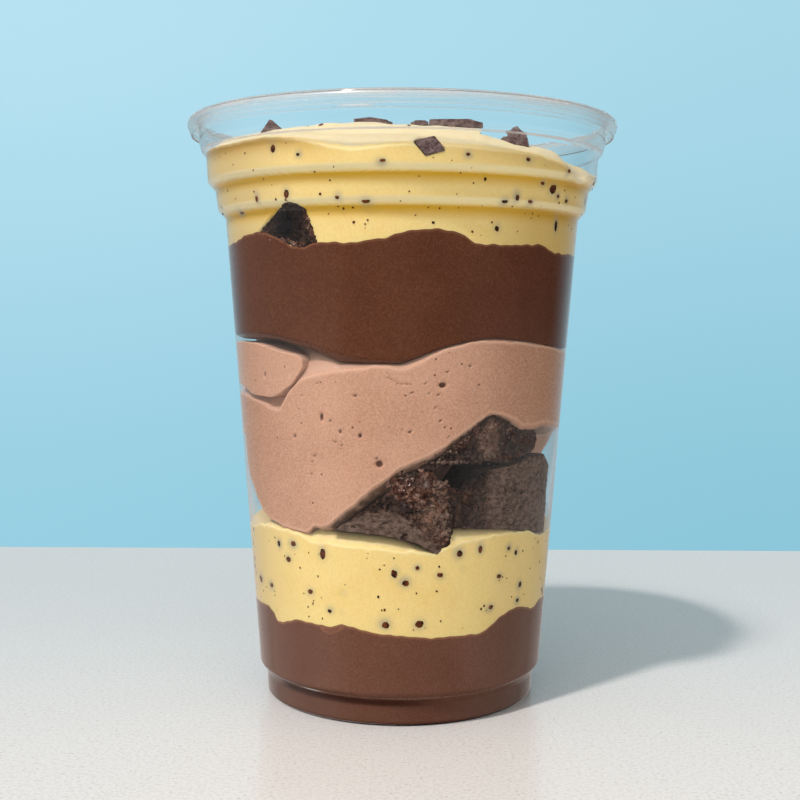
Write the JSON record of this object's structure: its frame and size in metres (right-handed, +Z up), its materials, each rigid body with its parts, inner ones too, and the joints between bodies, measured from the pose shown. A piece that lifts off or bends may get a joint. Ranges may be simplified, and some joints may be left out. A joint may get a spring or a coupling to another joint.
{
  "type": "layered mousse cup",
  "caption": "Clear plastic cup filled with layers of chocolate pudding, vanilla cream, light chocolate mousse and brownie pieces, with chips of dark chocolate on top.",
  "frame": {"origin": "middle of the cup's underside, on the surface it stands on", "axes": "+Z up along the cup's axis, -Y towards the side that the picture shows, +X to the right"},
  "size_m": [0.098, 0.098, 0.1318],
  "materials": {
    "clear_plastic": "clear, glossy thin sheet",
    "vanilla_cream": "smooth, softly glossy against the wall, with dark specks",
    "dark_pudding": "smooth and moist",
    "base_pudding": "smooth and moist",
    "light_mousse": "aerated, matt, with fine pits",
    "brownie": "dark, moist crumb",
    "chocolate": "broken chocolate, satin"
  },
  "bodies": {
    "root": {"cup": "clear_plastic", "pudding_base": "base_pudding", "cream_lower": "vanilla_cream", "brownie_left": "brownie", "brownie_right": "brownie", "brownie_upper": "brownie", "mousse_main": "light_mousse", "mousse_dab": "light_mousse", "pudding_upper": "dark_pudding", "brownie_in_cream": "brownie", "cream_top": "vanilla_cream", "chip_1": "chocolate", "chip_2": "chocolate", "chip_3": "chocolate", "chip_4": "chocolate", "chip_5": "chocolate", "chip_6": "chocolate"}
  },
  "joints": []
}
